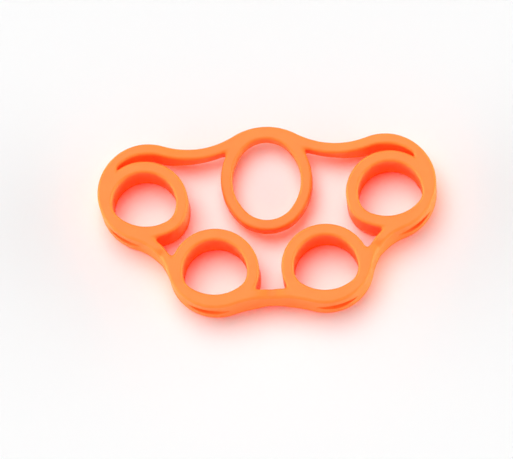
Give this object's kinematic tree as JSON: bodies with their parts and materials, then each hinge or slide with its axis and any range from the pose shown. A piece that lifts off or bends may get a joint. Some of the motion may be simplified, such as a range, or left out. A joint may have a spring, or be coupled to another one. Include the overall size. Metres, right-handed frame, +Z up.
{
  "type": "finger exerciser",
  "caption": "Elastic finger stretcher with a flattened loop for each finger and an oval thumb loop, joined by thin stretching straps and webs.",
  "frame": {"origin": "centre of the outline, on the plane the finger loops rest on", "axes": "+X along the row of finger loops from index to little, +Y towards the thumb loop, +Z up through the holes"},
  "size_m": [0.114, 0.0647, 0.012],
  "materials": {
    "silicone": "smooth moulded silicone, satin"
  },
  "bodies": {
    "webs": {"left_strap": "silicone", "right_strap": "silicone", "left_web": "silicone", "right_web": "silicone", "centre_web": "silicone"},
    "index": {"index_loop": "silicone"},
    "middle": {"middle_loop": "silicone"},
    "ring": {"ring_loop": "silicone"},
    "little": {"little_loop": "silicone"},
    "thumb": {"thumb_loop": "silicone"}
  },
  "joints": [
    {"name": "index_pull", "type": "slide", "parent": "webs", "child": "index", "axis": [-0.9397, -0.342, 0], "range_m": [0, 0.006], "stiffness_N_per_m": 400},
    {"name": "middle_pull", "type": "slide", "parent": "webs", "child": "middle", "axis": [-0.342, -0.9397, 0], "range_m": [0, 0.006], "stiffness_N_per_m": 400},
    {"name": "ring_pull", "type": "slide", "parent": "webs", "child": "ring", "axis": [0.342, -0.9397, 0], "range_m": [0, 0.006], "stiffness_N_per_m": 400},
    {"name": "little_pull", "type": "slide", "parent": "webs", "child": "little", "axis": [0.9397, -0.342, 0], "range_m": [0, 0.006], "stiffness_N_per_m": 400},
    {"name": "thumb_pull", "type": "slide", "parent": "webs", "child": "thumb", "axis": [0, 1, 0], "range_m": [0, 0.006], "stiffness_N_per_m": 400}
  ]
}
